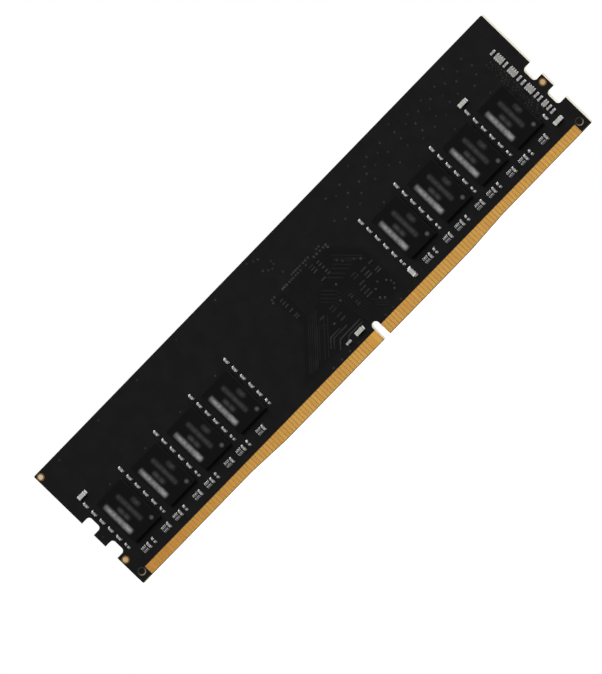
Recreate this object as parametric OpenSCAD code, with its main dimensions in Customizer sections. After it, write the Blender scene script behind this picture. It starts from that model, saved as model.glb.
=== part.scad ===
// DDR4 desktop memory module: an unbuffered DIMM with 288 edge contacts and eight memory packages.
// X runs along the board, Y through its thickness and Z up from the contact edge, in millimetres.
// The front faces -Y. The origin is the middle of the contact edge.
// Places along the board are measured from its left end, as seen from the front.

/* [Board] */
// Length along the contact edge
board_l = 133.35; // [133.2:0.05:133.5]
// Height from the contact edge to the top edge
board_h = 31.25; // [30.5:0.05:36]
// Thickness of the bare board
board_t = 1.4; // [1.3:0.05:1.5]
// Thickness of the outer laminate layer on each side
prepreg_t = 0.2; // [0.15:0.01:0.25]
// Thickness of each inner copper plane
plane_t = 0.02; // [0.015:0.005:0.07]
// Thickness of the solder mask on each side
mask_t = 0.03; // [0.02:0.005:0.05]
// Radius of the four outer corners
corner_r = 0.3; // [0.1:0.05:0.5]
// How much lower the middle of the contact edge is than its two ends
edge_step = 0.5; // [0.3:0.05:0.6]
// Height of the bevel along the contact edge
bevel_h = 0.2; // [0.15:0.05:0.4]

/* [Notches] */
// Centre of the key notch, from the left end
key_x = 72.25; // [72:0.05:72.5]
// Width of the key notch, which has a full round top
key_w = 1.7; // [1.5:0.05:2.2]
// Height of the key notch's top
key_top = 4.05; // [3.6:0.05:4.2]
// Centre of the lower latch notches above the contact edge
latch_low_z = 9.5; // [9.3:0.05:9.7]
// Centre of the upper latch notches above the contact edge
latch_high_z = 16.1; // [15.9:0.05:16.3]
// Height of each latch notch
latch_h = 3.3; // [3:0.05:3.5]
// Depth of each latch notch
latch_d = 2.15; // [1.9:0.05:2.3]
// Radius of a latch notch's inner corners
latch_r = 0.75; // [0.5:0.05:1]

/* [Contacts] */
// Distance from one contact's centre to the next
contact_pitch = 0.85; // [0.85:0.01:0.86]
// Width of a contact
contact_w = 0.6; // [0.5:0.05:0.7]
// Height of the contacts' upper end
contact_top = 2.65; // [2.6:0.05:3]
// Thickness of a contact with its gold plating
contact_t = 0.04; // [0.02:0.01:0.06]
// Centre of the first contact, from the left end
first_contact_x = 3.35; // [3.3:0.05:3.4]
// Contacts on each side to the left of the key notch
left_contacts = 77; // [60:1:77]
// Contacts on each side to the right of the key notch
right_contacts = 67; // [50:1:67]

/* [Memory packages] */
// Width of a package along the board
dram_w = 7.5; // [7:0.1:8]
// Height of a package up the board
dram_h = 11; // [10:0.1:12]
// Distance from one package's centre to the next in a group of four
dram_pitch = 10.5; // [10.4:0.1:11]
// Height of the packages' centres above the contact edge
dram_z = 13; // [12.8:0.1:14]
// Centre of the first package of the left group, from the left end
left_dram_x = 8.95; // [8.9:0.05:9.5]
// Centre of the first package of the right group, from the left end
right_dram_x = 91.1; // [90.7:0.05:91.2]
// Thickness of the mould cap
cap_t = 0.6; // [0.5:0.05:0.8]
// Thickness of the package substrate
substrate_t = 0.22; // [0.15:0.01:0.3]
// Gap between the board and the substrate
ball_gap = 0.3; // [0.25:0.01:0.35]
// Diameter of a solder ball
ball_d = 0.45; // [0.4:0.01:0.5]
// Distance from one solder ball to the next
ball_pitch = 0.8; // [0.8:0.05:0.85]

/* [Chip parts] */
// Thickness of the metal plating on chip parts' ends
plating = 0.02; // [0.01:0.005:0.03]
// How far solder runs out from a terminal
fillet_run = 0.2; // [0.1:0.05:0.25]
// How high solder climbs up a terminal
fillet_rise = 0.25; // [0.1:0.05:0.3]
// How far solder runs out from a bulk capacitor's terminal
bulk_fillet_run = 0.3; // [0.2:0.05:0.4]
// Distance of a column of small parts to the left of its package's centre
column_gap = 5.6; // [5.4:0.05:5.7]
// Height of a column's lowest part, which is a calibration resistor
column_low_z = 8.1; // [8:0.1:8.5]
// Distance from one part of a column to the next
column_pitch = 2.32; // [2.1:0.01:2.4]
// First resistor array of the left group, from the left end
left_lane_x = 5.45; // [5.3:0.05:5.7]
// First resistor array of the right group, from the left end
right_lane_x = 89.4; // [89.2:0.05:89.6]
// Height of the resistors above the contacts
lane_z = 5.1; // [5:0.05:5.4]
// Centre of the termination column, from the left end
end_column_x = 129.5; // [129:0.05:129.7]

/* [Hidden] */
$fn = 48;
half_l = board_l / 2;
front_y = -board_t / 2;
mask_y = front_y - mask_t;
core_y = board_t / 2 - prepreg_t;

// The contact edge drops and rises again over a run of 10.2, which starts on a contact's centre
slope_run = 10.2;
left_slope_x = first_contact_x + 34 * contact_pitch;
right_slope_x = first_contact_x + 110 * contact_pitch;
edge_points = [
    [-half_l, edge_step],
    [from_left(left_slope_x), edge_step],
    [from_left(left_slope_x + slope_run), 0],
    [from_left(right_slope_x), 0],
    [from_left(right_slope_x + slope_run), edge_step],
    [half_l, edge_step]
];

// Contacts to the right of the key notch are counted back from the right end
right_first_x = board_l - first_contact_x - (right_contacts - 1) * contact_pitch;
// Plain gold lands fill the front between the nearest contacts and the key notch
notch_gap = 0.05;
left_land_x = first_contact_x + left_contacts * contact_pitch - contact_w / 2;
left_land_w = max(notch_gap, key_x - key_w / 2 - notch_gap - left_land_x);
right_land_x = key_x + key_w / 2 + notch_gap;
right_land_w = max(notch_gap, right_first_x - contact_pitch + contact_w / 2 - right_land_x);
// The solder mask stays clear of the contacts
mask_window_x = first_contact_x - 0.6;
mask_window_top = contact_top + 0.1;

// The inner copper stays clear of the notches and the contacts
plane_margin = 3.2;
plane_low_z = 4.6;
plane_high_margin = 0.8;

// Bright copper marks: place from the left end, height, diameter
fiducials = [[0.95, board_h - 1.05, 1.05], [0.95, 6.45, 1.1], [board_l - 1.05, 13.2, 1.05]];
fiducial_clearance = 0.3;
ring_marks = [[1.6, 2.5], [board_l - 1.6, 2.5]];
ring_outer_d = 1.75;
ring_inner_d = 1.35;

// The ball field is 13 rows of three and three columns, with an open strip in the middle
ball_rows = 13;
ball_columns = [-4, -3, -2, 2, 3, 4];
die_size = [6.2, 0.25, 9];
pin_mark_d = 0.8;
pin_mark_depth = 0.03;
pin_mark_x = 2.45;
pin_mark_z = -4.35;

// Chip parts: length, width, height
small_cap = [1, 0.5, 0.5];
bulk_cap = [1.8, 0.9, 0.8];
resistor = [1, 0.5, 0.33];
cap_wrap = 0.25;
bulk_wrap = 0.35;
resistor_wrap = 0.33;

// Arrays of chip parts: elements, their pitch, depth across, height
data_array = [4, 0.32, 0.9, 0.33];
end_array = [4, 0.5, 1.2, 0.38];
end_pair = [2, 0.5, 1.2, 0.38];
array_wrap = 0.33;
array_terminal_share = 0.6;

// Each byte lane's parts sit over about 11 contacts: offsets of its two arrays, two capacitors and resistor
lane_pitch = 9.42;
lane_starts = [for (start = [left_lane_x, right_lane_x]) for (k = [0:3]) start + k * lane_pitch];
lane_array_offsets = [0, 5.95];
lane_cap_offsets = [1.2, 7.1];
lane_resistor_offset = 2.6;

// Places of the chip parts: place from the left end, height, turn
part_columns = concat(
    [for (k = [0:4]) left_dram_x + k * dram_pitch - column_gap],
    [for (k = [0:3]) right_dram_x + k * dram_pitch - column_gap]
);
small_cap_places = concat(
    [for (x = part_columns) for (k = [1:5]) [x, column_low_z + k * column_pitch, 90]],
    [for (x = lane_starts) for (d = lane_cap_offsets) [x + d, lane_z, 90]],
    [for (z = [24.4, 20.9, 17.05, 15.9, 12.3, 11.3, 8.75, 7.7]) [end_column_x, z, 0]],
    [[65.8, 4.7, 0], [127.6, 7.9, 90]]
);
bulk_cap_places = [[4.3, 21.7, 0], [117.7, 21.7, 0], [85.55, 5.45, 90], [69.1, 4.75, 0], [128.85, 5.65, 0]];
data_array_places = [for (x = lane_starts) for (d = lane_array_offsets) [x + d, lane_z, 0]];
resistor_places = concat(
    [for (x = part_columns) [x, column_low_z, 90]],
    [for (x = lane_starts) [x + lane_resistor_offset, lane_z, 90]]
);
end_array_places = [for (z = [22.6, 18.9, 14.1]) [end_column_x, z, 90]];
end_pair_places = [[end_column_x, 9.9, 90]];

// The serial-presence-detect chip on the back, with its own capacitor
spd_size = [3, 2, 0.75];
spd_place = [66.7, 13, 0];
spd_cap_place = [70.2, 13, 90];
spd_pad = [0.25, 0.4, 0.05];
spd_pad_pitch = 0.5;

dram_parts = ["cap", "die", "substrate", "balls"];

function from_left(x) = x - half_l;
function dram_x(n) = n <= 4 ? left_dram_x + (n - 1) * dram_pitch : right_dram_x + (n - 5) * dram_pitch;
// Height of the contact edge at a place along the board
function edge_z(x) = lookup(from_left(x), edge_points);

// ---- Placing ----

// Extrudes an outline drawn in X and Z from y_low to y_high
module slab(y_low, y_high) {
    translate([0, y_high, 0]) rotate([90, 0, 0]) linear_extrude(height = y_high - y_low) children();
}

// Stands children on the front mask: their X runs along the board, their Z points out of it
module on_front(place) {
    translate([from_left(place[0]), mask_y, place[1]]) rotate([90, 0, 0]) rotate([0, 0, place[2]]) children();
}

module on_back(place) {
    translate([from_left(place[0]), -mask_y, place[1]]) rotate([-90, 0, 0]) rotate([0, 0, place[2]]) children();
}

// ---- Board ----

module key_notch() {
    translate([from_left(key_x), key_top - key_w / 2]) {
        circle(d = key_w);
        translate([-key_w / 2, -key_top]) square([key_w, key_top]);
    }
}

// A notch that opens towards +X at the origin, with rounded inner corners
module latch_notch() {
    difference() {
        translate([-latch_d, -latch_h / 2]) square([latch_d + 1, latch_h]);
        for (side = [-1, 1])
            translate([-latch_d, side * latch_h / 2]) rotate(side > 0 ? 90 : 180) corner_cut(latch_r);
    }
}

// What a radius removes from a corner whose sides run along -X and -Y from the origin
module corner_cut(radius) {
    difference() {
        translate([-radius, -radius]) square(radius * 2);
        translate([-radius, -radius]) circle(r = radius);
        translate([0, -radius]) square([radius, radius * 2]);
        translate([-radius, 0]) square([radius * 2, radius]);
    }
}

module board_outline() {
    difference() {
        polygon(concat(edge_points, [[half_l, board_h], [-half_l, board_h]]));
        key_notch();
        for (z = [latch_low_z, latch_high_z]) {
            translate([half_l, z]) latch_notch();
            translate([-half_l, z]) rotate(180) latch_notch();
        }
        translate([half_l, board_h]) corner_cut(corner_r);
        translate([-half_l, board_h]) rotate(90) corner_cut(corner_r);
        translate([-half_l, edge_step]) rotate(180) corner_cut(corner_r);
        translate([half_l, edge_step]) rotate(270) corner_cut(corner_r);
    }
}

// The wedge that bevels the front face along the contact edge
module bevel_cutter() {
    reach = 1;
    rise = bevel_h * (prepreg_t + reach) / prepreg_t;
    section = [[-core_y, 0], [-core_y, -reach], [front_y - reach, -reach], [front_y - reach, rise]];
    last = len(edge_points) - 1;
    stations = [
        for (k = [0:last])
            edge_points[k] + [k == 0 ? -reach : k == last ? reach : 0, 0]
    ];
    points = [for (s = stations) for (p = section) [s[0], p[0], s[1] + p[1]]];
    sides = [
        for (k = [0:last - 1])
            for (j = [0:3])
                [4 * k + j, 4 * k + (j + 1) % 4, 4 * k + 4 + (j + 1) % 4, 4 * k + 4 + j]
    ];
    caps = [[3, 2, 1, 0], [for (j = [0:3]) 4 * last + j]];
    polyhedron(points = points, faces = concat(sides, caps));
}

module plane_outline() {
    translate([-half_l + plane_margin, plane_low_z])
        square([board_l - 2 * plane_margin, board_h - plane_low_z - plane_high_margin]);
}

// A sheet of inner copper whose front face is at y
module plane_sheet(y) {
    slab(y, y + plane_t) plane_outline();
}

// The core is clad with the two inner copper sheets, which are let into its faces
module core_laminate() {
    color("darkolivegreen") difference() {
        slab(-core_y, core_y) board_outline();
        plane_sheet(-core_y);
        plane_sheet(core_y - plane_t);
    }
}

module front_layer() {
    difference() {
        slab(front_y, -core_y) board_outline();
        bevel_cutter();
    }
}

module front_prepreg() {
    color("olivedrab") front_layer();
}

module back_prepreg() {
    color("olivedrab") mirror([0, 1, 0]) front_layer();
}

module ground_plane() {
    color("peru") plane_sheet(-core_y);
}

module power_plane() {
    color("peru") plane_sheet(core_y - plane_t);
}

module mask_outline() {
    difference() {
        board_outline();
        translate([-half_l - 1, -1]) square([board_l + 2, edge_step + bevel_h + 1]);
        translate([from_left(mask_window_x), -1]) square([board_l - 2 * mask_window_x, mask_window_top + 1]);
        for (m = ring_marks)
            translate([from_left(m[0]), m[1]]) ring();
    }
}

module ring() {
    difference() {
        circle(d = ring_outer_d);
        circle(d = ring_inner_d);
    }
}

module solder_mask_front() {
    color([0.1, 0.1, 0.1]) slab(mask_y, front_y) difference() {
        mask_outline();
        for (f = fiducials)
            translate([from_left(f[0]), f[1]]) circle(d = f[2] + 2 * fiducial_clearance);
    }
}

module solder_mask_back() {
    color([0.1, 0.1, 0.1]) slab(-front_y, -mask_y) mask_outline();
}

// Fiducial discs on the front, and a ring at each end of the contacts on both sides
module surface_marks() {
    color("goldenrod") {
        slab(mask_y, front_y) for (f = fiducials)
            translate([from_left(f[0]), f[1]]) circle(d = f[2]);
        for (y = [mask_y, -front_y])
            slab(y, y + mask_t) for (m = ring_marks)
                translate([from_left(m[0]), m[1]]) ring();
    }
}

// ---- Edge contacts ----

module contact(x) {
    low = edge_z(x) + bevel_h;
    translate([from_left(x) - contact_w / 2, 0, low]) cube([contact_w, contact_t, contact_top - low]);
}

module contact_row(start, count) {
    color("gold") for (k = [0:count - 1]) contact(start + k * contact_pitch);
}

module plain_land(x, width) {
    color("gold") translate([from_left(x), 0, bevel_h]) cube([width, contact_t, contact_top - bevel_h]);
}

module contacts_front_left() {
    translate([0, front_y - contact_t, 0]) {
        contact_row(first_contact_x, left_contacts);
        plain_land(left_land_x, left_land_w);
    }
}

module contacts_front_right() {
    translate([0, front_y - contact_t, 0]) {
        contact_row(right_first_x, right_contacts);
        plain_land(right_land_x, right_land_w);
    }
}

module contacts_back_left() {
    translate([0, -front_y, 0]) contact_row(first_contact_x, left_contacts);
}

module contacts_back_right() {
    translate([0, -front_y, 0]) contact_row(right_first_x, right_contacts);
}

// ---- Memory packages ----

// A block centred on a package, from one height over the board's mask to another
module dram_block(n, width, height, low, high) {
    translate([from_left(dram_x(n)) - width / 2, mask_y - high, dram_z - height / 2])
        cube([width, high - low, height]);
}

module dram_cap(n) {
    low = ball_gap + substrate_t;
    color([0.08, 0.08, 0.08]) difference() {
        dram_block(n, dram_w, dram_h, low, low + cap_t);
        dram_block(n, die_size.x, die_size.z, low, low + die_size.y);
        translate([from_left(dram_x(n)) + pin_mark_x, mask_y - low - cap_t + pin_mark_depth, dram_z + pin_mark_z])
            rotate([90, 0, 0]) cylinder(d = pin_mark_d, h = 1);
    }
}

module dram_die(n) {
    low = ball_gap + substrate_t;
    color("slategray") dram_block(n, die_size.x, die_size.z, low, low + die_size.y);
}

module dram_substrate(n) {
    color("darkgreen") dram_block(n, dram_w, dram_h, ball_gap, ball_gap + substrate_t);
}

// A ball flattened by the board below and the substrate above
module solder_ball() {
    intersection() {
        sphere(d = ball_d);
        cube([ball_d, ball_d, ball_gap], center = true);
    }
}

module dram_balls(n) {
    color("silver") for (row = [0:ball_rows - 1]) for (column = ball_columns)
        translate([
            from_left(dram_x(n)) + column * ball_pitch,
            mask_y - ball_gap / 2,
            dram_z + (row - (ball_rows - 1) / 2) * ball_pitch
        ])
            rotate([90, 0, 0]) solder_ball();
}

// ---- Chip capacitors and resistors ----

// A two-terminal part lies along X with its underside at Z = 0
module chip_body(size) {
    translate([plating - size.x / 2, -size.y / 2, plating]) cube([size.x - 2 * plating, size.y, size.z]);
}

module chip_terminals(size, wrap) {
    for (turn = [0, 180]) rotate(turn) difference() {
        translate([size.x / 2 - wrap, -size.y / 2 - plating, 0])
            cube([wrap, size.y + 2 * plating, size.z + 2 * plating]);
        chip_body(size);
    }
}

// A wedge of solder that starts at the origin and runs out along +X
module fillet(width, run = fillet_run) {
    translate([0, width / 2, 0]) rotate([90, 0, 0]) linear_extrude(height = width)
        polygon([[0, 0], [run, 0], [0, fillet_rise]]);
}

module chip_fillets(size, run = fillet_run) {
    for (turn = [0, 180]) rotate(turn) translate([size.x / 2, 0, 0]) fillet(size.y + 2 * plating, run);
}

// An array is [elements, pitch, depth, height], with its elements in a row along X
module array_body(array) {
    translate([-array[0] * array[1] / 2, -array[2] / 2, plating])
        cube([array[0] * array[1], array[2], array[3]]);
}

// Puts children at each terminal's outer face, with +X pointing away from the array
module at_array_terminals(array) {
    for (k = [0:array[0] - 1]) for (turn = [90, 270])
        translate([(k - (array[0] - 1) / 2) * array[1], 0, 0]) rotate(turn)
            translate([array[2] / 2 + plating, 0, 0]) children();
}

module array_terminals(array) {
    width = array[1] * array_terminal_share;
    difference() {
        at_array_terminals(array) translate([-array_wrap, -width / 2, 0])
            cube([array_wrap, width, array[3] + 2 * plating]);
        array_body(array);
    }
}

module array_fillets(array) {
    at_array_terminals(array) fillet(array[1] * array_terminal_share);
}

module decoupling_cap_bodies() {
    color("tan") {
        for (p = small_cap_places) on_front(p) chip_body(small_cap);
        on_back(spd_cap_place) chip_body(small_cap);
    }
}

module decoupling_cap_terminals() {
    color("silver") {
        for (p = small_cap_places) on_front(p) chip_terminals(small_cap, cap_wrap);
        on_back(spd_cap_place) chip_terminals(small_cap, cap_wrap);
    }
}

module bulk_cap_bodies() {
    color("tan") for (p = bulk_cap_places) on_front(p) chip_body(bulk_cap);
}

module bulk_cap_terminals() {
    color("silver") for (p = bulk_cap_places) on_front(p) chip_terminals(bulk_cap, bulk_wrap);
}

module data_array_bodies() {
    color([0.15, 0.15, 0.15]) for (p = data_array_places) on_front(p) array_body(data_array);
}

module data_array_terminals() {
    color("silver") for (p = data_array_places) on_front(p) array_terminals(data_array);
}

module end_array_bodies() {
    color("tan") {
        for (p = end_array_places) on_front(p) array_body(end_array);
        for (p = end_pair_places) on_front(p) array_body(end_pair);
    }
}

module end_array_terminals() {
    color("silver") {
        for (p = end_array_places) on_front(p) array_terminals(end_array);
        for (p = end_pair_places) on_front(p) array_terminals(end_pair);
    }
}

module resistor_bodies() {
    color([0.15, 0.15, 0.15]) for (p = resistor_places) on_front(p) chip_body(resistor);
}

module resistor_terminals() {
    color("silver") for (p = resistor_places) on_front(p) chip_terminals(resistor, resistor_wrap);
}

module solder_fillets() {
    color("lightgray") {
        for (p = small_cap_places) on_front(p) chip_fillets(small_cap);
        for (p = bulk_cap_places) on_front(p) chip_fillets(bulk_cap, bulk_fillet_run);
        for (p = resistor_places) on_front(p) chip_fillets(resistor);
        for (p = data_array_places) on_front(p) array_fillets(data_array);
        for (p = end_array_places) on_front(p) array_fillets(end_array);
        for (p = end_pair_places) on_front(p) array_fillets(end_pair);
        on_back(spd_cap_place) chip_fillets(small_cap);
    }
}

// ---- Serial-presence-detect chip ----

module spd_body() {
    color([0.08, 0.08, 0.08]) on_back(spd_place)
        translate([-spd_size.x / 2, -spd_size.y / 2, spd_pad.z])
            cube([spd_size.x, spd_size.y, spd_size.z - spd_pad.z]);
}

// Four flat pads along each long side, under the body's edge
module spd_terminals() {
    color("silver") on_back(spd_place)
        for (k = [-1.5:1:1.5]) for (side = [-1, 1])
            translate([
                k * spd_pad_pitch - spd_pad.x / 2,
                side * (spd_size.y / 2 - spd_pad.y / 2) - spd_pad.y / 2,
                0
            ])
                cube(spd_pad);
}

// ---- Drawing ----

core_laminate();
front_prepreg();
back_prepreg();
ground_plane();
power_plane();
solder_mask_front();
solder_mask_back();
surface_marks();
contacts_front_left();
contacts_front_right();
contacts_back_left();
contacts_back_right();
for (n = [1:8]) {
    dram_cap(n);
    dram_die(n);
    dram_substrate(n);
    dram_balls(n);
}
decoupling_cap_bodies();
decoupling_cap_terminals();
bulk_cap_bodies();
bulk_cap_terminals();
data_array_bodies();
data_array_terminals();
end_array_bodies();
end_array_terminals();
resistor_bodies();
resistor_terminals();
solder_fillets();
spd_body();
spd_terminals();
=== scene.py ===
import math
import random

import bmesh
import bpy
import numpy as np
from mathutils import Matrix, Vector


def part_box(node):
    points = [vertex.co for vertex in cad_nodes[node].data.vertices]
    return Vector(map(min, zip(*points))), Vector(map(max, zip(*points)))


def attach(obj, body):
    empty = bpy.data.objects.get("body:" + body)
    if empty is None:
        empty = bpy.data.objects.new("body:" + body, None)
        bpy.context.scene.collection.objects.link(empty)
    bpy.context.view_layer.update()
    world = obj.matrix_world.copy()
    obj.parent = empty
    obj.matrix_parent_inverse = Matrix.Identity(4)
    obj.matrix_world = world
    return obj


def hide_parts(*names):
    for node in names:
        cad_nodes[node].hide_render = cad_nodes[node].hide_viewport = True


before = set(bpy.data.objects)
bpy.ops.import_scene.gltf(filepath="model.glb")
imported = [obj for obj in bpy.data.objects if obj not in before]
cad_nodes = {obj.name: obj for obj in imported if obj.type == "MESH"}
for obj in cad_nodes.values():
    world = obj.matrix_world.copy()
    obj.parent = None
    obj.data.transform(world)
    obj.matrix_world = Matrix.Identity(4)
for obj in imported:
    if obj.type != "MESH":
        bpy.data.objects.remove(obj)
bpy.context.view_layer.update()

# The script builds in millimetres and turns each finished mesh into metres.
MM = 0.001
random.seed(7)

# ---- Places read from the frame ----


def box_mm(node):
    """Lowest and highest corner of a CAD node, in millimetres."""
    low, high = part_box(node)
    return low / MM, high / MM


board_low, board_high = box_mm("core_laminate")
mask_front_y = box_mm("solder_mask_front")[0].y
mask_back_y = box_mm("solder_mask_back")[1].y
board_left = board_low.x
board_length = board_high.x - board_low.x
board_top = board_high.z
contact_top = box_mm("contacts_front_left")[1].z
package_names = [f"dram_{n}" for n in range(1, 9)]
packages = [box_mm(name + "_cap") for name in package_names]


def along(x):
    """A place given from the board's left end, as a row coordinate."""
    return board_left + x


# ---- Camera, light and floor ----

# The camera stands to the right of straight on, level with the module and rolled, far off with a long lens.
# Distances are in metres; FRAMING moves it sideways and up in its own picture.
VIEW_AZIMUTH = math.radians(15.6)
VIEW_ROLL = math.radians(45.83)
VIEW_DISTANCE = 4.5
LENS = 1202.7
FRAMING = Vector((-0.00232, -0.00712))
CAMERA_REACH = 40.0


def add_camera():
    aim = Vector((0, mask_front_y * MM, board_top * MM / 2))
    outward = Vector((math.sin(VIEW_AZIMUTH), -math.cos(VIEW_AZIMUTH), 0))
    level = outward.to_track_quat("Z", "Y").to_matrix()
    turned = level @ Matrix.Rotation(-VIEW_ROLL, 3, "Z")
    sideways = turned.col[0] * FRAMING.x
    upwards = turned.col[1] * FRAMING.y
    place = aim + outward * VIEW_DISTANCE + sideways + upwards
    data = bpy.data.cameras.new("camera")
    data.lens = LENS
    data.clip_end = CAMERA_REACH
    camera = bpy.data.objects.new("camera", data)
    camera.matrix_world = Matrix.Translation(place) @ turned.to_4x4()
    bpy.context.scene.collection.objects.link(camera)
    bpy.context.scene.camera = camera


# Square soft lights round the module:
# name, azimuth and elevation in degrees, distance and size in metres, power in watts
LIGHTS = [
    ("key", 3, 31, 1.6, 0.35, 8.6),
    ("overhead", 0, 57, 1.4, 0.8, 7.0),
    ("front_card", -16, 0, 1.6, 0.7, 0.62),
    ("right_card", 80, 20, 1.2, 0.5, 5.0),
    ("back_card", 200, 35, 1.2, 0.6, 1.5),
]


def add_light(name, azimuth, elevation, distance, size, power):
    """A square soft light that faces the module."""
    data = bpy.data.lights.new(name, "AREA")
    data.shape = "SQUARE"
    data.size = size
    data.energy = power
    light = bpy.data.objects.new(name, data)
    turn = math.radians(azimuth)
    rise = math.radians(elevation)
    level = math.cos(rise)
    outward = Vector((math.sin(turn) * level, -math.cos(turn) * level, math.sin(rise)))
    light.location = Vector((0, 0, board_top * MM / 2)) + outward * distance
    light.rotation_euler = outward.to_track_quat("Z", "Y").to_euler()
    light.visible_camera = False
    bpy.context.scene.collection.objects.link(light)


# Strengths of the studio in front and of the backdrop behind, each for light and for reflections
STUDIO = (0.08, 0.3)
BACKDROP = (0.8, 1.15)
# The studio passes into the backdrop between these two values of a direction's Y
BACKDROP_EDGE = (-0.1, 0.2)
WHITE = (1, 1, 1, 1)


def map_range(tree, value, low, high, out_low, out_high):
    """A straight ramp; its output ends may be numbers or outputs of other nodes."""
    node = tree.nodes.new("ShaderNodeMapRange")
    node.inputs["From Min"].default_value = low
    node.inputs["From Max"].default_value = high
    tree.links.new(value, node.inputs["Value"])
    for socket, end in (("To Min", out_low), ("To Max", out_high)):
        if isinstance(end, bpy.types.NodeSocket):
            tree.links.new(end, node.inputs[socket])
        else:
            node.inputs[socket].default_value = end
    return node.outputs["Result"]


def add_world():
    """White where the camera looks past the module.

    For light and reflections the world is a bright backdrop behind and a dim studio in front.
    """
    world = bpy.data.worlds.new("studio")
    world.use_nodes = True
    tree = world.node_tree
    nodes = tree.nodes
    links = tree.links
    nodes.clear()
    seen = nodes.new("ShaderNodeBackground")
    seen.inputs["Color"].default_value = WHITE
    seen.inputs["Strength"].default_value = 1.0
    lit = nodes.new("ShaderNodeBackground")
    lit.inputs["Color"].default_value = WHITE
    path = nodes.new("ShaderNodeLightPath")
    reflected = path.outputs["Is Glossy Ray"]
    front = map_range(tree, reflected, 0, 1, *STUDIO)
    behind = map_range(tree, reflected, 0, 1, *BACKDROP)
    direction = nodes.new("ShaderNodeSeparateXYZ")
    facing = nodes.new("ShaderNodeTexCoord").outputs["Generated"]
    links.new(facing, direction.inputs[0])
    strength = map_range(tree, direction.outputs["Y"], *BACKDROP_EDGE, front, behind)
    links.new(strength, lit.inputs["Strength"])
    mix = nodes.new("ShaderNodeMixShader")
    out = nodes.new("ShaderNodeOutputWorld")
    links.new(path.outputs["Is Camera Ray"], mix.inputs["Fac"])
    links.new(lit.outputs[0], mix.inputs[1])
    links.new(seen.outputs[0], mix.inputs[2])
    links.new(mix.outputs[0], out.inputs["Surface"])
    bpy.context.scene.world = world


FLOOR_SIZE = 1.6
FLOOR_GLOW = 0.62


def add_floor():
    """A plain pale floor that neither lights the module nor shows in its reflections."""
    mesh = bpy.data.meshes.new("floor")
    half = FLOOR_SIZE / 2
    corners = [(-half, -half, 0), (half, -half, 0), (half, half, 0), (-half, half, 0)]
    mesh.from_pydata(corners, [], [(0, 1, 2, 3)])
    floor = bpy.data.objects.new("floor", mesh)
    bpy.context.scene.collection.objects.link(floor)
    paint = Surface("pale_floor", Roughness=0.9, Emission_Strength=FLOOR_GLOW, Emission_Color=WHITE)
    paint.colour_between((0.80, 0.80, 0.80), (0.83, 0.83, 0.83), paint.noise(0.05, detail=2))
    mesh.materials.append(paint.material)
    floor.visible_glossy = False
    floor.visible_diffuse = False


# ---- Materials ----


# Where a noise texture's values mostly lie
NOISE_LOW = 0.3
NOISE_HIGH = 0.7
# The size of a normal's Y: up to the first a face counts as a side, and from the second as the board's face
SIDE_LEAN = 0.5
FACE_LEAN = 0.8


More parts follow.
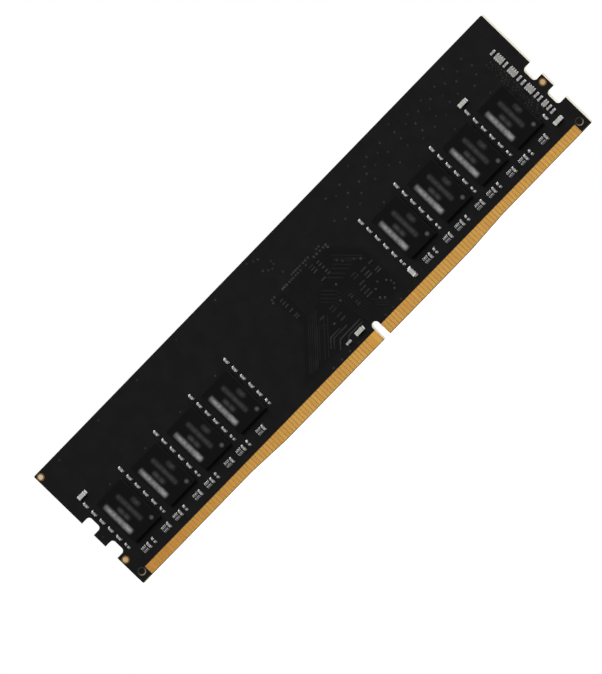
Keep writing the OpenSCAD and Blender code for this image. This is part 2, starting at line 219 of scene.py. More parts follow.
class Surface:
    """A principled material whose colour, roughness and bump come from nodes."""

    def __init__(self, name, **constants):
        """Constants are set on the shader; an underscore in a name stands for a space."""
        self.material = bpy.data.materials.new(name)
        self.material.use_nodes = True
        self.nodes = self.material.node_tree.nodes
        self.links = self.material.node_tree.links
        self.shader = self.nodes["Principled BSDF"]
        for socket, value in constants.items():
            self.shader.inputs[socket.replace("_", " ")].default_value = value

    def add(self, kind, inputs=None, **settings):
        """A new node; inputs maps a socket's name or number to a value or to another node's output."""
        node = self.nodes.new("ShaderNode" + kind)
        for setting, value in settings.items():
            setattr(node, setting, value)
        for socket, value in (inputs or {}).items():
            if isinstance(value, bpy.types.NodeSocket):
                self.links.new(value, node.inputs[socket])
            else:
                node.inputs[socket].default_value = value
        return node

    def coords(self, stretch=(1, 1, 1)):
        """Object coordinates in millimetres, stretched along an axis by a small number."""
        place = self.add("TexCoord").outputs["Object"]
        scale = [1000 * s for s in stretch]
        return self.add("Mapping", {"Vector": place, "Scale": scale}).outputs[0]

    def axis(self, name):
        """One object coordinate, in millimetres."""
        return self.add("SeparateXYZ", {0: self.coords()}).outputs[name]

    def normal_y(self):
        """The Y part of the face's normal: -1 on a front face, 1 on a back face and 0 on a side."""
        normal = self.add("NewGeometry").outputs["Normal"]
        return self.add("SeparateXYZ", {0: normal}).outputs["Y"]

    def noise(self, scale, detail=3, stretch=(1, 1, 1)):
        """Noise; a larger scale is finer."""
        inputs = {"Vector": self.coords(stretch), "Scale": scale, "Detail": detail, "Roughness": 0.5}
        return self.add("TexNoise", inputs).outputs["Fac"]

    def bands(self, scale, axis, **more):
        """Parallel bands across an axis, from 0 to 1."""
        inputs = {"Vector": self.coords(), "Scale": scale, **more}
        return self.add("TexWave", inputs, bands_direction=axis).outputs["Fac"]

    def math(self, operation, a, b=0.0):
        return self.add("Math", {0: a, 1: b}, operation=operation).outputs[0]

    def ramp(self, value, low, high, out_low=0.0, out_high=1.0):
        """A smooth step from out_low to out_high as value goes from low to high."""
        inputs = {"Value": value, "From Min": low, "From Max": high, "To Min": out_low, "To Max": out_high}
        return self.add("MapRange", inputs, interpolation_type="SMOOTHSTEP").outputs[0]

    def spread(self, noise, out_low=0.0, out_high=1.0):
        """Noise stretched to run from out_low to out_high."""
        return self.ramp(noise, NOISE_LOW, NOISE_HIGH, out_low, out_high)

    def mix(self, low, high, share):
        """A colour between two, each a colour triple or a colour output."""
        node = self.add("Mix", data_type="RGBA")
        self.links.new(share, node.inputs["Factor"])
        # Sockets 6 and 7 and output 2 are the node's colours
        for socket, value in ((6, low), (7, high)):
            if isinstance(value, bpy.types.NodeSocket):
                self.links.new(value, node.inputs[socket])
            else:
                node.inputs[socket].default_value = (*value, 1)
        return node.outputs[2]

    def paint(self, colour):
        self.links.new(colour, self.shader.inputs["Base Color"])

    def colour_between(self, low, high, share):
        self.paint(self.mix(low, high, share))

    def rough(self, value):
        self.links.new(value, self.shader.inputs["Roughness"])

    def bump(self, height, depth_mm):
        """Relief from a height of 0 to 1, depth_mm deep, on top of any relief so far."""
        inputs = {"Height": height, "Distance": depth_mm * MM, "Strength": 1.0}
        previous = self.shader.inputs["Normal"]
        if previous.is_linked:
            inputs["Normal"] = previous.links[0].from_socket
        node = self.add("Bump", inputs)
        self.links.new(node.outputs[0], previous)

    def inside(self, value, low, high, soft):
        """1 where value is between low and high, falling to 0 over soft on each side."""
        rises = self.ramp(value, low - soft, low + soft)
        falls = self.ramp(value, high - soft, high + soft, 1.0, 0.0)
        return self.math("MULTIPLY", rises, falls)


# A low mirror share, for the matt blacks
BLACK_SPECULAR = 0.07
MASK_BLACKS = ((0.0104, 0.0104, 0.0106), (0.0128, 0.0128, 0.0130))
OPEN_FIELD_BLACK = (0.0088, 0.0088, 0.0090)
OPEN_FIELD_EXTRA_ROUGHNESS = 0.15


def solder_mask(name, low, high):
    """Satin black lacquer with a faint orange peel, mottled between two near blacks."""
    surface = Surface(name, Specular_IOR_Level=BLACK_SPECULAR)
    surface.colour_between(low, high, surface.ramp(surface.noise(0.35, detail=4), 0.35, 0.65))
    surface.rough(surface.spread(surface.noise(1.2), 0.52, 0.58))
    surface.bump(surface.noise(3.5, detail=2), 0.004)
    surface.bump(surface.noise(18, detail=2), 0.001)
    return surface


# The part of the front that has no copper flood under its mask, where the address lines cross it.
# Its left side is upright down to a height, and then runs down and left at 45 degrees.
OPEN_FIELD_Z = (4.7, 21.3)
OPEN_FIELD_LEFT = 61.4
OPEN_FIELD_TURN_Z = 13.5
OPEN_FIELD_RIGHT = 82.0
OPEN_FIELD_CORNER = 98.0
FIELD_SOFTNESS = 0.9


def open_field(surface):
    """1 inside the open field and 0 outside it."""
    x = surface.math("SUBTRACT", surface.axis("X"), board_left)
    z = surface.axis("Z")
    slope = surface.math("ADD", z, OPEN_FIELD_LEFT - OPEN_FIELD_TURN_Z)
    left = surface.math("SUBTRACT", x, surface.math("MINIMUM", slope, OPEN_FIELD_LEFT))
    right = surface.math("SUBTRACT", OPEN_FIELD_RIGHT, x)
    corner = surface.math("SUBTRACT", OPEN_FIELD_CORNER, surface.math("ADD", x, z))
    nearest = surface.math("MINIMUM", surface.math("MINIMUM", left, right), corner)
    level = surface.inside(z, *OPEN_FIELD_Z, FIELD_SOFTNESS)
    return surface.math("MULTIPLY", surface.ramp(nearest, -FIELD_SOFTNESS, FIELD_SOFTNESS), level)


def front_mask():
    """The front's lacquer, blacker and less glossy in the open field."""
    surface = solder_mask("mask_front", *MASK_BLACKS)
    flooded = surface.shader.inputs["Base Color"].links[0].from_socket
    satin = surface.shader.inputs["Roughness"].links[0].from_socket
    field = open_field(surface)
    surface.paint(surface.mix(flooded, OPEN_FIELD_BLACK, field))
    extra = surface.math("MULTIPLY", field, OPEN_FIELD_EXTRA_ROUGHNESS)
    surface.rough(surface.math("ADD", satin, extra))
    return surface.material


def back_mask():
    return solder_mask("mask_back", *MASK_BLACKS).material


def raised_mask(name, grey, spread):
    """Mask over raised copper, where it is thinner and greyer.

    The grey varies by the share spread either way.
    """
    dim = (1 - spread) * grey
    bright = (1 + spread) * grey
    return solder_mask(name, (dim, dim, dim), (bright, bright, 1.02 * bright)).material


# Painted light: the sawn edges glow a little by emission, standing in for light that comes through them
PAINTED_EDGE_GLOW = 0.30
LAMINATE_SPECULAR = 0.6
BARE_FACE = (0.24, 0.105, 0.012)
WEAVE_SCALE = 2.2
LAYER_SCALE = 2.8
# How dark the weave and the edge's layers get, as shares of their colours
WEAVE_SHADE = 0.75
LAYER_SHADE = 0.85
# An edge's roughness against a face's
EDGE_GLOSS = 0.45


def shade(colour, share):
    return tuple(share * c for c in colour)


def laminate(name, face, edge):
    """Glass epoxy: a woven face, darker above the contacts, and a layered edge with a weak painted glow."""
    surface = Surface(name, Specular_IOR_Level=LAMINATE_SPECULAR, Emission_Strength=PAINTED_EDGE_GLOW)
    weave = surface.math("MULTIPLY", surface.bands(WEAVE_SCALE, "X"), surface.bands(WEAVE_SCALE, "Z"))
    layers = surface.bands(LAYER_SCALE, "Y", Distortion=1.5, Detail=2.0)
    face_colour = surface.mix(shade(face, WEAVE_SHADE), face, weave)
    above = surface.ramp(surface.axis("Z"), contact_top - 0.1, contact_top + 0.1)
    face_colour = surface.mix(face_colour, BARE_FACE, above)
    edge_colour = surface.mix(shade(edge, LAYER_SHADE), edge, layers)
    on_face = surface.ramp(surface.math("ABSOLUTE", surface.normal_y()), SIDE_LEAN, FACE_LEAN)
    surface.paint(surface.mix(edge_colour, face_colour, on_face))
    # The edges' painted glow, in their own colour
    glow = surface.mix(edge_colour, (0.0, 0.0, 0.0), on_face)
    surface.links.new(glow, surface.shader.inputs["Emission Color"])
    fibres = surface.spread(surface.noise(4), 0.45, 0.7)
    gloss = surface.ramp(on_face, 0.0, 1.0, EDGE_GLOSS, 1.0)
    surface.rough(surface.math("MULTIPLY", fibres, gloss))
    surface.bump(surface.noise(12, stretch=(1, 0.2, 1)), 0.01)
    return surface.material


def gold_streaks(surface):
    """Fine upright rub marks, from 0 to 1."""
    return surface.spread(surface.noise(9, stretch=(1, 1, 0.06)))


def polish_gold(surface, streaks):
    surface.rough(surface.ramp(streaks, 0.0, 1.0, 0.24, 0.36))
    surface.bump(streaks, 0.002)
    return surface.material


CONTACT_PITCH = 0.85
YELLOW_GOLDS = ((0.89, 0.465, 0.094), (1.0, 0.56, 0.126))
RED_GOLD = (0.80, 0.345, 0.058)
# The share of red gold falls from this at the left end to none over this share of the board's length
LEFT_REDNESS = 0.7
REDNESS_REACH = 0.35
# The most red gold that a single contact gets by chance
CONTACT_CHANCE = 0.42


def contact_gold():
    """Hard gold; each contact differs a little from the next, and the left end is redder."""
    surface = Surface("contact_gold", Metallic=1.0)
    streaks = gold_streaks(surface)
    yellow = surface.mix(*YELLOW_GOLDS, streaks)
    number = surface.math("FLOOR", surface.math("DIVIDE", surface.axis("X"), CONTACT_PITCH))
    single = surface.add("TexWhiteNoise", {"W": number}, noise_dimensions="1D").outputs["Value"]
    reach = board_left + REDNESS_REACH * board_length
    left_end = surface.ramp(surface.axis("X"), board_left, reach, LEFT_REDNESS, 0.0)
    share = surface.math("ADD", left_end, surface.math("MULTIPLY", single, CONTACT_CHANCE))
    surface.paint(surface.mix(yellow, RED_GOLD, share))
    return polish_gold(surface, streaks)


# The ring marks lie below this height and the fiducial discs above it; the upper disc is above PALE_FROM
RINGS_TOP = 4.5
PALE_FROM = 22.0
RING_MIDDLE = 2.5
DISC_GOLDS = ((0.72, 0.49, 0.22), (0.90, 0.65, 0.34))
PALE_GOLDS = ((0.80, 0.66, 0.46), (0.95, 0.82, 0.62))
# The rings' painted light and shade: lit gold on their lower half, a painted dark shade above it
RING_LIT_GOLD = (0.46, 0.34, 0.20)
RING_PAINTED_SHADE = (0.060, 0.048, 0.036)


def marking_gold():
    """Gold on the discs, palest on the upper one, and on the rings painted light and shade: lit gold on their
    lower half, a painted shade above it.
    """
    surface = Surface("marking_gold", Metallic=1.0)
    streaks = gold_streaks(surface)
    height = surface.axis("Z")
    yellow = surface.mix(*DISC_GOLDS, streaks)
    pale = surface.mix(*PALE_GOLDS, streaks)
    disc = surface.mix(yellow, pale, surface.ramp(height, PALE_FROM - 0.5, PALE_FROM + 0.5))
    # Painted shade over the rings above their lower half
    ring_shade_share = surface.ramp(height, RING_MIDDLE - 0.9, RING_MIDDLE + 0.3)
    ring = surface.mix(RING_LIT_GOLD, RING_PAINTED_SHADE, ring_shade_share)
    surface.paint(surface.mix(ring, disc, surface.ramp(height, RINGS_TOP - 0.5, RINGS_TOP + 0.5)))
    return polish_gold(surface, streaks)


def copper():
    surface = Surface("copper_foil", Metallic=1.0)
    grain = surface.noise(6, detail=4, stretch=(0.2, 1, 1))
    surface.colour_between((0.55, 0.26, 0.15), (0.75, 0.38, 0.24), grain)
    surface.rough(surface.spread(grain, 0.3, 0.5))
    return surface.material


def silicon():
    surface = Surface("silicon", Metallic=0.4)
    grain = surface.noise(3, detail=2)
    surface.colour_between((0.16, 0.17, 0.21), (0.24, 0.25, 0.30), grain)
    surface.rough(surface.spread(grain, 0.12, 0.2))
    return surface.material


MOULD_BLACKS = ((0.0046, 0.0046, 0.0048), (0.0070, 0.0070, 0.0072))
# The sides' grey is partly the sawn filler and partly painted light against their shade
SAWN_AND_PAINTED_SIDE_GREY = (0.030, 0.030, 0.031)


def mould(name, marked=False):
    """Matt moulding compound with its fine filler, greyer on the sides, partly for the sawn filler and partly
    as painted light that lifts their shade, and marked if asked.
    """
    surface = Surface(name, Specular_IOR_Level=BLACK_SPECULAR)
    speck = surface.noise(22)
    colour = surface.mix(*MOULD_BLACKS, surface.spread(speck))
    # Painted light on the sides, together with the sawn filler's grey
    sawn_and_lit_sides = surface.ramp(surface.math("ABSOLUTE", surface.normal_y()), 0.3, 0.7, 1.0, 0.0)
    colour = surface.mix(colour, SAWN_AND_PAINTED_SIDE_GREY, sawn_and_lit_sides)
    if marked:
        colour = add_laser_marks(surface, colour)
    surface.paint(colour)
    surface.rough(surface.spread(surface.noise(6), 0.55, 0.7))
    surface.bump(speck, 0.006)
    return surface.material


# Soft upright bars and one dot stand in for a package's laser marking; places are from its centre.
# Bars: middle across, half width, bottom, top, strength
LASER_BARS = [
    (-2.68, 0.44, -3.5, 3.8, 0.46),
    (-2.68, 0.46, -3.5, -1.6, 0.18),
    (-1.05, 0.40, 0.2, 1.6, 0.085),
    (-1.05, 0.40, -1.4, 0.0, 0.085),
    (0.70, 0.42, -3.2, 3.6, 0.07),
    (2.50, 0.45, -0.8, 1.1, 0.07),
]
BAR_SOFTNESS = 0.46
# The dot lies in the dimple beside the package's first ball
PIN_MARK = (2.45, -4.35)
PIN_MARK_RADIUS = 0.4
DOT_STRENGTH = 0.135
DOT_SOFTNESS = 0.25
LASER_GREY = (0.9, 0.9, 0.9)


def laser_bars(surface, across, up):
    """How strongly the bars show, blotched."""
    total = None
    for middle, half, bottom, top, strength in LASER_BARS:
        columns = surface.inside(across, middle - half, middle + half, BAR_SOFTNESS)
        rows = surface.inside(up, bottom, top, BAR_SOFTNESS)
        bar = surface.math("MULTIPLY", surface.math("MULTIPLY", columns, rows), strength)
        total = bar if total is None else surface.math("ADD", total, bar)
    return surface.math("MULTIPLY", total, surface.spread(surface.noise(1.6), 0.55, 1.0))


def laser_dot(surface, across, up):
    """How strongly the dot shows."""
    x, z = PIN_MARK
    offset = {0: surface.math("SUBTRACT", across, x), 2: surface.math("SUBTRACT", up, z)}
    spot = surface.add("CombineXYZ", offset).outputs[0]
    distance = surface.add("VectorMath", {0: spot}, operation="LENGTH").outputs["Value"]
    edge = (PIN_MARK_RADIUS - DOT_SOFTNESS, PIN_MARK_RADIUS + DOT_SOFTNESS)
    return surface.ramp(distance, *edge, DOT_STRENGTH, 0.0)


def add_laser_marks(surface, colour):
    """The colour with the bars and the dot over it, on the package's front face only."""
    across = surface.axis("X")
    up = surface.axis("Z")
    marks = surface.math("ADD", laser_bars(surface, across, up), laser_dot(surface, across, up))
    on_face = surface.ramp(surface.normal_y(), -0.9, -0.7, 1.0, 0.0)
    return surface.mix(colour, LASER_GREY, surface.math("MULTIPLY", marks, on_face))


def substrate():
    """Dark green laminate with its layers showing on the sides."""
    surface = Surface("package_substrate", Specular_IOR_Level=0.15)
    surface.colour_between((0.006, 0.011, 0.007), (0.018, 0.030, 0.018), surface.bands(9.0, "Y"))
    surface.rough(surface.spread(surface.noise(8, detail=2), 0.45, 0.6))
    return surface.material


def bright_metal(name, low, high, rough_low, rough_high):
    """Tin or solder, with a fine frosting."""
    surface = Surface(name, Metallic=0.85)
    frost = surface.noise(14)
    surface.colour_between(low, high, surface.spread(frost))
    surface.rough(surface.spread(frost, rough_low, rough_high))
    surface.bump(frost, 0.004)
    return surface.material


def fired_ceramic(name, low, high):
    surface = Surface(name)
    speck = surface.noise(20)
    surface.colour_between(low, high, speck)
    surface.rough(surface.spread(speck, 0.35, 0.5))
    surface.bump(speck, 0.002)
    return surface.material


def black_overcoat():
    surface = Surface("resistor_overcoat")
    flow = surface.noise(5, detail=2)
    surface.colour_between((0.010, 0.010, 0.011), (0.018, 0.018, 0.020), flow)
    surface.rough(surface.spread(flow, 0.2, 0.32))
    surface.bump(flow, 0.006)
    return surface.material


# ---- Mesh tools ----


def finish_piece(mesh_builder, name, material, replaced=(), origin=(0, 0, 0)):
    """Turns a builder's millimetre mesh into a piece that rides on the module."""
    mesh = bpy.data.meshes.new(name)
    mesh_builder.transform(Matrix.Translation(-Vector(origin)))
    mesh_builder.transform(Matrix.Scale(MM, 4))
    bmesh.ops.recalc_face_normals(mesh_builder, faces=mesh_builder.faces)
    mesh_builder.to_mesh(mesh)
    mesh_builder.free()
    mesh.materials.append(material)
    piece = bpy.data.objects.new(name, mesh)
    piece.location = Vector(origin) * MM
    bpy.context.scene.collection.objects.link(piece)
    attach(piece, "root")
    if replaced:
        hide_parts(*replaced)
    return piece


def skin(build, rings):
    """Faces between each ring and the next, and a face over each end."""
    for a, b in zip(rings, rings[1:]):
        for k in range(len(a)):
            n = (k + 1) % len(a)
            build.faces.new((a[k], a[n], b[n], b[k]))
    build.faces.new(rings[0])
    build.faces.new(list(reversed(rings[-1])))


# The largest radius, as a share of the box's least size
MOST_ROUNDED = 0.45


def add_rounded_box(build, low, high, radius, segments=2):
    """A box whose edges are all rounded."""
    size = Vector(high) - Vector(low)
    middle = (Vector(high) + Vector(low)) / 2
    place = Matrix.Translation(middle) @ Matrix.Diagonal((*size, 1))
    corners = bmesh.ops.create_cube(build, size=1, matrix=place)["verts"]
    edges = list({edge for corner in corners for edge in corner.link_edges})
    offset = min(radius, MOST_ROUNDED * min(size))
    bmesh.ops.bevel(build, geom=edges, offset=offset, segments=segments, profile=0.5, affect="EDGES")


def solids(node):
    """The separate solids of a CAD node, each as an array of its corners in millimetres.

    Corners at one place are one corner, and corners that edges join get the same label, the lowest of theirs.
    """
    mesh = cad_nodes[node].data
    points = np.array([v.co for v in mesh.vertices]) / MM
    _, first, same = np.unique(np.round(points, 4), axis=0, return_index=True, return_inverse=True)
    same = same.reshape(-1)
    label = np.arange(len(first))
    edges = np.array([(same[e.vertices[0]], same[e.vertices[1]]) for e in mesh.edges])
    while True:
        lowest = np.minimum(label[edges[:, 0]], label[edges[:, 1]])
        new = label.copy()
        np.minimum.at(new, edges[:, 0], lowest)
        np.minimum.at(new, edges[:, 1], lowest)
        new = new[new]
        if (new == label).all():
            break
        label = new
    return [points[first[label == k]] for k in np.unique(label)]


# ---- Pieces ----


def add_rounded_parts(node, material, radius):
    """The solids of a CAD node again, with rounded edges."""
    build = bmesh.new()
    for corners in solids(node):
        add_rounded_box(build, corners.min(0), corners.max(0), radius)
    return finish_piece(build, node + "_rounded", material, [node])


FILLET_STEPS = 5
# Share of its width that a fillet loses by its far end, and its width at the top against that at the board
FILLET_TAPER = 0.15
FILLET_TOP = 0.9
# Distances in millimetres: how near a foot lies to its mask, and corners that count as one or edges as none
FOOT_TOLERANCE = 0.05
SAME_CORNER = 0.0005
SHORTEST_EDGE = 0.0004


def fillet_rings(low, high, foot_y, raised):
    """Outlines across a fillet, as points, from the terminal to its far end along a hollow slope."""
    away = -1 if foot_y == high[1] else 1
    middle = (low + high) / 2
    lean = raised.mean(0) - middle
    axis = 0 if abs(lean[0]) > abs(lean[2]) else 2
    side = 2 - axis
    sign = 1 if lean[axis] < 0 else -1
    start = low[axis] if sign > 0 else high[axis]
    run, rise, half = high[axis] - low[axis], high[1] - low[1], (high[side] - low[side]) / 2
    for step in range(FILLET_STEPS + 1):
        turn = step / FILLET_STEPS * math.pi / 2
        reach = run * (1 - math.cos(turn))
        height = rise * (1 - math.sin(turn))
        spread = half * (1 - FILLET_TAPER * step / FILLET_STEPS)
        top = spread * FILLET_TOP
        ring = []
        for lateral, up in ((-spread, 0), (-top, height), (top, height), (spread, 0)):
            point = [0, 0, 0]
            point[axis] = start + sign * reach
            point[side] = middle[side] + lateral
            point[1] = foot_y + away * up
            ring.append(point)
        yield ring


def add_solder(node, material):
    """Each solder wedge again with a hollow slope, narrower at its top and away from the terminal."""
    build = bmesh.new()
    for corners in solids(node):
        low = corners.min(0)
        high = corners.max(0)
        foot_y = low[1] if abs(low[1] - mask_back_y) < FOOT_TOLERANCE else high[1]
        raised = corners[np.abs(corners[:, 1] - foot_y) > 0.5 * (high[1] - low[1])]
        rings = fillet_rings(low, high, foot_y, raised)
        skin(build, [[build.verts.new(point) for point in ring] for ring in rings])
    bmesh.ops.remove_doubles(build, verts=build.verts, dist=SAME_CORNER)
    bmesh.ops.dissolve_degenerate(build, edges=build.edges, dist=SHORTEST_EDGE)
    return finish_piece(build, node + "_concave", material, [node])


PACKAGE_EDGE = 0.06
PACKAGE_EDGE_STEPS = 3
DIMPLE_SEGMENTS = 32
PIN_MARK_DEPTH = 0.03


def loose_object(build, name):
    """An object in the scene made of a builder's mesh, for a cut."""
    mesh = bpy.data.meshes.new(name)
    build.to_mesh(mesh)
    build.free()
    item = bpy.data.objects.new(name, mesh)
    bpy.context.scene.collection.objects.link(item)
    return item


def subtract(build, cutter_build):
    """The first mesh less the second, as a new builder."""
    cutter = loose_object(cutter_build, "dimple")
    body = loose_object(build, "cap")
    cut = body.modifiers.new("dimple", "BOOLEAN")
    cut.operation = "DIFFERENCE"
    cut.solver = "EXACT"
    cut.object = cutter
    graph = bpy.context.evaluated_depsgraph_get()
    result = bmesh.new()
    result.from_mesh(body.evaluated_get(graph).to_mesh())
    bpy.data.objects.remove(body)
    bpy.data.objects.remove(cutter)
    return result


def add_package(name, low, high, material):
    """A mould cap with softened edges and a shallow round dimple beside its first ball."""
    build = bmesh.new()
    add_rounded_box(build, low, high, PACKAGE_EDGE, PACKAGE_EDGE_STEPS)
    middle = (low + high) / 2
    dimple = bmesh.new()
    place = Matrix.Translation((middle.x + PIN_MARK[0], low.y, middle.z + PIN_MARK[1]))
    turn = Matrix.Rotation(math.pi / 2, 4, "X")
    bmesh.ops.create_cone(
        dimple,
        cap_ends=True,
        segments=DIMPLE_SEGMENTS,
        radius1=PIN_MARK_RADIUS,
        radius2=PIN_MARK_RADIUS,
        depth=2 * PIN_MARK_DEPTH,
        matrix=place @ turn,
    )
    cap = subtract(build, dimple)
    return finish_piece(cap, name + "_moulding", material, [name + "_cap"], origin=middle)


# ---- Relief of the solder mask ----

# The two faces, as the direction along Y in which each looks
FRONT = -1
BACK = 1
TRACE_HEIGHT = 0.02
# Profile across a line: share of the half width, share of the height; its foot is sunk in the mask
TRACE_PROFILE = [(-1.0, -0.5), (-0.6, 1.0), (0.6, 1.0), (1.0, -0.5)]


def surface_y(side):
    return mask_front_y if side == FRONT else mask_back_y


def add_trace(build, side, points, width):
    """A raised line along points in X and Z, with sloping flanks."""
    base = surface_y(side)
    half = width / 2
    path = [Vector((along(x), z)) for x, z in points]
    rings = []
    for k, here in enumerate(path):
        before = (here - path[k - 1]).normalized() if k else (path[1] - here).normalized()
        after = (path[k + 1] - here).normalized() if k < len(path) - 1 else before
        normal = Vector((-(before.y + after.y), before.x + after.x)).normalized()
        widen = 1 / max(0.5, normal.dot(Vector((-after.y, after.x))))
        ring = []
        for share, height in TRACE_PROFILE:
            flat = here + normal * half * share * widen
            ring.append(build.verts.new((flat.x, base + side * height * TRACE_HEIGHT, flat.y)))
        rings.append(ring)
    skin(build, rings)


VIA_SEGMENTS = 14
# Profile of a covered via from its middle outwards: share of the radius, share of the height
VIA_PROFILE = [(0.30, 0.25), (0.55, 1.0), (0.80, 0.9), (1.0, -0.5)]
VIA_RADIUS = 0.27
VIA_HEIGHT = 0.035


def add_via(build, side, x, z, radius=VIA_RADIUS):
    """A low round swelling of the mask with a dent in its middle."""
    base = surface_y(side)
    rings = []
    for share, height in VIA_PROFILE:
        ring = []
        for k in range(VIA_SEGMENTS):
            turn = 2 * math.pi * k / VIA_SEGMENTS
            flat_x = along(x) + radius * share * math.cos(turn)
            flat_z = z + radius * share * math.sin(turn)
            ring.append(build.verts.new((flat_x, base + side * height * VIA_HEIGHT, flat_z)))
        rings.append(ring)
    skin(build, rings)


# Families of parallel lines: the first line's points, how many lines, the step from one to the next, width
FRONT_LINES = [
    ([(63.9, 14.3), (55.4, 5.8)], 5, (0.46, -0.12), 0.2),
    ([(67.6, 14.4), (69.9, 12.1), (69.9, 11.2)], 4, (0.62, 0.5), 0.22),
    ([(72.2, 16.9), (74.6, 14.5)], 2, (0.95, 0.35), 0.26),
    ([(74.3, 17.5), (77.0, 14.8)], 3, (0.75, 0.45), 0.24),
    ([(76.2, 19.4), (80.8, 14.8)], 2, (0.0, -0.8), 0.2),
    ([(62.7, 11.2), (57.2, 5.7)], 3, (0.9, 0.3), 0.2),
    ([(66.8, 11.6), (65.0, 9.8), (60.6, 5.4)], 2, (-0.8, 0.25), 0.22),
    ([(63.4, 11.2), (64.9, 9.7)], 2, (0.55, 0.25), 0.2),
    ([(75.4, 7.6), (77.8, 5.2)], 3, (0.0, -0.75), 0.18),
    ([(117.0, 18.95), (126.4, 18.95), (126.4, 8.0)], 1, (0.0, 0.0), 0.14),
]
# Finer lines that show less
FINE_LINES = [
    ([(63.9, 21.2), (63.9, 14.3)], 5, (0.46, -0.12), 0.18),
    ([(66.3, 21.2), (66.3, 14.6)], 4, (0.46, 0.0), 0.16),
    ([(68.2, 21.2), (68.2, 16.4)], 6, (0.46, 0.0), 0.16),
    ([(64.1, 25.8), (64.1, 22.0)], 4, (0.52, 0.0), 0.16),
    ([(71.4, 12.5), (71.4, 8.2), (72.1, 5.0)], 6, (0.62, 0.0), 0.18),
]
# Lines of broad copper, level from their right end to a corner and then down and left:
# corner, right end, height
FRONT_RAILS = [(63.9, 66.6, 7.95), (64.3, 68.1, 7.4), (65.0, 71.0, 6.35), (66.8, 71.0, 5.65)]
RAIL_TURN = 1.6
RAIL_WIDTH = 0.3
# Short flat lands: left end, right end, heights
FRONT_DASHES = [
    (75.9, 77.3, [13.55, 12.8, 11.15]),
    (75.2, 76.8, [10.25, 9.25, 8.45]),
    (78.0, 79.5, [12.8, 11.8, 11.1]),
    (80.3, 81.5, [12.85, 11.05, 10.45]),
    (72.6, 73.5, [11.2, 10.6, 9.35, 8.7]),
    (67.9, 69.2, [12.05, 11.3, 9.95, 8.9]),
    (61.8, 62.8, [20.2, 19.45, 18.7, 17.45, 16.2, 15.65]),
    (71.0, 72.2, [20.75, 20.1, 19.4, 17.2]),
    (72.9, 73.7, [20.35, 19.65, 18.85, 17.95, 17.3]),
    (64.8, 66.2, [11.95]),
]
DASH_WIDTH = 0.34
# Rows of bright round lands under the mask, on both faces: height, places
PAD_ROWS = [
    (21.65, [61.0, 61.75, 64.2, 64.75, 65.4, 66.25, 66.85, 67.4, 68.1, 68.75, 69.55, 71.1]),
    (21.65, [73.45, 74.3, 75.25, 76.2, 76.95]),
    (22.4, [67.6, 68.2, 68.8, 69.4, 70.1, 71.0, 71.7, 72.5, 75.0, 75.7]),
    (21.05, [60.7, 76.95]),
]
LONE_PADS = [
    (66.5, 9.4), (79.0, 9.1), (77.65, 8.3), (80.5, 8.05), (81.1, 7.3), (81.15, 6.5), (77.0, 6.5),
    (77.7, 5.8), (80.5, 5.75), (72.6, 14.6), (70.85, 11.75), (76.3, 17.9), (77.0, 17.0), (80.0, 14.7),
]
PAD_RADIUS = 0.27
# Rows of vias under the mask, which go through the board to both faces: height, places
VIA_ROWS = [
    (29.3, [91.9, 103.9, 119.9]),
    (28.0, [83.8, 87.9, 95.9, 99.9, 108.1, 112.1, 116.0, 124.0]),
    (26.9, [85.7, 94.2, 98.1, 106.4, 110.1, 113.7, 118.0, 121.6]),
    (25.6, [87.9, 91.2, 93.4, 96.0, 99.7, 103.6, 107.9, 112.1, 115.9, 120.0, 124.6]),
    (23.7, [81.8, 85.7, 89.8, 93.9, 97.9, 103.5, 107.9, 112.0, 116.0, 118.4, 123.9]),
    (22.4, [83.7, 88.1, 99.9, 106.8, 110.2, 113.6, 122.0]),
    (29.8, [6.2, 17.85, 29.5, 41.15, 52.8]),
    (19.2, [10.0, 20.5, 31.0, 41.5, 91.7, 102.2, 112.7, 123.2]),
    (3.3, [59.8, 62.25, 64.7, 67.15, 75.2, 77.5, 79.8, 82.1]),
]
LONE_VIAS = [
    (64.0, 27.0), (66.6, 27.2), (66.6, 26.4), (65.7, 25.9), (64.9, 26.3), (66.8, 24.0), (62.7, 30.3),
    (65.0, 29.3), (64.0, 29.7), (79.0, 15.6), (1.1, 12.8), (103.6, 27.4),
]
END_FIELD_COLUMNS = (126.7, 127.25, 127.8, 128.25)
END_FIELD_Z = (8.4, 23.8)
END_FIELD_STEP = 0.72
# Each column starts this much higher than the one before it
END_FIELD_STAGGER = 0.3
# The share of its places that hold a via, and how far a via strays sideways
END_FIELD_FILL = 0.62
END_FIELD_STRAY = 0.12
END_VIA_RADIUS = 0.19


def end_field():
    """The close field of small vias beside the termination arrays, with some left out.

    Each call draws its own, so the front's field and the back's differ.
    """
    for column, x in enumerate(END_FIELD_COLUMNS):
        z = END_FIELD_Z[0] + END_FIELD_STAGGER * column
        while z < END_FIELD_Z[1]:
            if random.random() < END_FIELD_FILL:
                yield x + random.uniform(-END_FIELD_STRAY, END_FIELD_STRAY), z
            z += END_FIELD_STEP


def family_lines(families):
    """Each line of the families, as its points and width."""
    for points, count, step, width in families:
        for k in range(count):
            yield [(x + step[0] * k, z + step[1] * k) for x, z in points], width


def add_lines(side, families, material, name):
    build = bmesh.new()
    for points, width in family_lines(families):
        add_trace(build, side, points, width)
    return finish_piece(build, name, material)


def add_lands(side, material, name):
    """Rails and short flat lands."""
    build = bmesh.new()
    for left, right, z in FRONT_RAILS:
        add_trace(build, side, [(right, z), (left, z), (left - RAIL_TURN, z - RAIL_TURN)], RAIL_WIDTH)
    for left, right, heights in FRONT_DASHES:
        for z in heights:
            add_trace(build, side, [(left, z), (right, z)], DASH_WIDTH)
    return finish_piece(build, name, material)


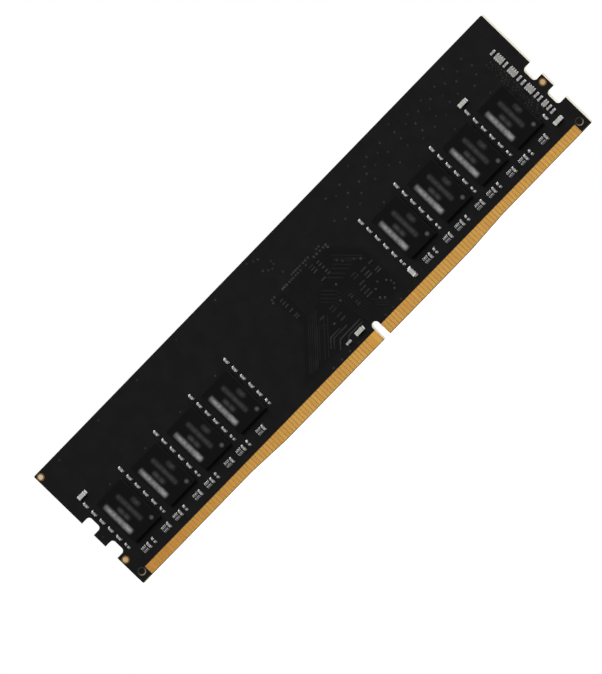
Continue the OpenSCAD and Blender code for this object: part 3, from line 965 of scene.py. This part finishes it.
def add_pads(side, material, name):
    build = bmesh.new()
    places = LONE_PADS + [(x, z) for z, row in PAD_ROWS for x in row]
    for x, z in places:
        add_via(build, side, x, z, PAD_RADIUS)
    return finish_piece(build, name, material)


def add_vias(side, material, name):
    build = bmesh.new()
    rows = [(x, z) for z, row in VIA_ROWS for x in row]
    for x, z in LONE_VIAS + rows:
        add_via(build, side, x, z)
    for x, z in end_field():
        add_via(build, side, x, z, END_VIA_RADIUS)
    return finish_piece(build, name, material)


# The back has long lines from the contacts up and across to the middle, and no packages
BACK_LINES = [
    ([(8.0, 3.6), (8.0, 9.0), (16.0, 17.0), (56.0, 17.0)], 5, (1.7, -0.55), 0.16),
    ([(22.0, 3.6), (22.0, 8.0), (26.5, 12.5), (58.0, 12.5)], 4, (1.7, -0.55), 0.16),
    ([(125.0, 3.6), (125.0, 9.0), (117.0, 17.0), (80.0, 17.0)], 5, (-1.7, -0.55), 0.16),
    ([(111.0, 3.6), (111.0, 8.0), (106.5, 12.5), (78.0, 12.5)], 4, (-1.7, -0.55), 0.16),
    ([(46.0, 3.6), (46.0, 6.0), (52.0, 12.0), (52.0, 21.0)], 8, (0.55, -0.2), 0.16),
    ([(90.0, 3.6), (90.0, 6.0), (84.0, 12.0), (84.0, 21.0)], 8, (-0.55, -0.2), 0.16),
    ([(58.0, 24.0), (78.0, 24.0)], 5, (0.4, -0.5), 0.16),
]


# ---- Building ----


def dress(node, material):
    """Gives a CAD node its finished material."""
    cad_nodes[node].data.materials.clear()
    cad_nodes[node].data.materials.append(material)


def build_studio():
    bpy.context.scene.view_settings.view_transform = "Standard"
    add_camera()
    add_world()
    add_floor()
    for light in LIGHTS:
        add_light(*light)


def build_board():
    dress("core_laminate", laminate("core_laminate", (0.10, 0.075, 0.04), (0.70, 0.64, 0.48)))
    for node in ("front_prepreg", "back_prepreg"):
        dress(node, laminate(node, (0.76, 0.45, 0.13), (0.68, 0.62, 0.45)))
    for node in ("ground_plane", "power_plane"):
        dress(node, copper())
    dress("solder_mask_front", front_mask())
    dress("solder_mask_back", back_mask())
    dress("surface_marks", marking_gold())
    finger_gold = contact_gold()
    for node in ("contacts_front_left", "contacts_front_right", "contacts_back_left", "contacts_back_right"):
        dress(node, finger_gold)


def build_packages(solder):
    marked_mould = mould("package_mould", marked=True)
    die_silicon = silicon()
    package_substrate = substrate()
    for name, (low, high) in zip(package_names, packages):
        add_package(name, low, high, marked_mould)
        dress(name + "_die", die_silicon)
        dress(name + "_substrate", package_substrate)
        dress(name + "_balls", solder)


def build_chip_parts(solder):
    tin = bright_metal("tin_plating", (0.46, 0.46, 0.46), (0.56, 0.56, 0.55), 0.45, 0.58)
    bright_tin = bright_metal("bright_tin_plating", (0.66, 0.66, 0.65), (0.78, 0.78, 0.76), 0.45, 0.55)
    overcoat = black_overcoat()
    ceramic = fired_ceramic("capacitor_ceramic", (0.38, 0.36, 0.33), (0.47, 0.45, 0.42))
    pale_ceramic = fired_ceramic("pale_ceramic", (0.62, 0.59, 0.53), (0.72, 0.70, 0.65))
    # Each call's last number is the radius of the edges
    add_rounded_parts("decoupling_cap_bodies", ceramic, 0.05)
    add_rounded_parts("bulk_cap_bodies", pale_ceramic, 0.07)
    add_rounded_parts("end_array_bodies", ceramic, 0.04)
    for node in ("data_array_bodies", "resistor_bodies"):
        add_rounded_parts(node, overcoat, 0.03)
    for part in ("decoupling_cap", "data_array", "end_array", "resistor"):
        add_rounded_parts(part + "_terminals", tin, 0.05)
    add_rounded_parts("bulk_cap_terminals", bright_tin, 0.07)
    add_solder("solder_fillets", solder)
    add_rounded_parts("spd_body", mould("spd_mould"), 0.04)
    dress("spd_terminals", tin)


def build_relief():
    line = raised_mask("mask_over_line", 0.0185, 0.2)
    fine_line = raised_mask("mask_over_fine_line", 0.0140, 0.2)
    land = raised_mask("mask_over_land", 0.037, 0.35)
    pad = raised_mask("mask_over_pad", 0.060, 0.35)
    via = raised_mask("mask_over_via", 0.036, 0.35)
    add_lines(FRONT, FRONT_LINES, line, "front_lines")
    add_lines(FRONT, FINE_LINES, fine_line, "front_fine_lines")
    add_lands(FRONT, land, "front_lands")
    add_pads(FRONT, pad, "front_pads")
    add_vias(FRONT, via, "front_vias")
    add_lines(BACK, BACK_LINES, line, "back_lines")
    add_pads(BACK, land, "back_pads")
    add_vias(BACK, via, "back_vias")


build_studio()
build_board()
ball_solder = bright_metal("solder", (0.68, 0.685, 0.69), (0.80, 0.805, 0.81), 0.48, 0.6)
build_packages(ball_solder)
build_chip_parts(ball_solder)
build_relief()
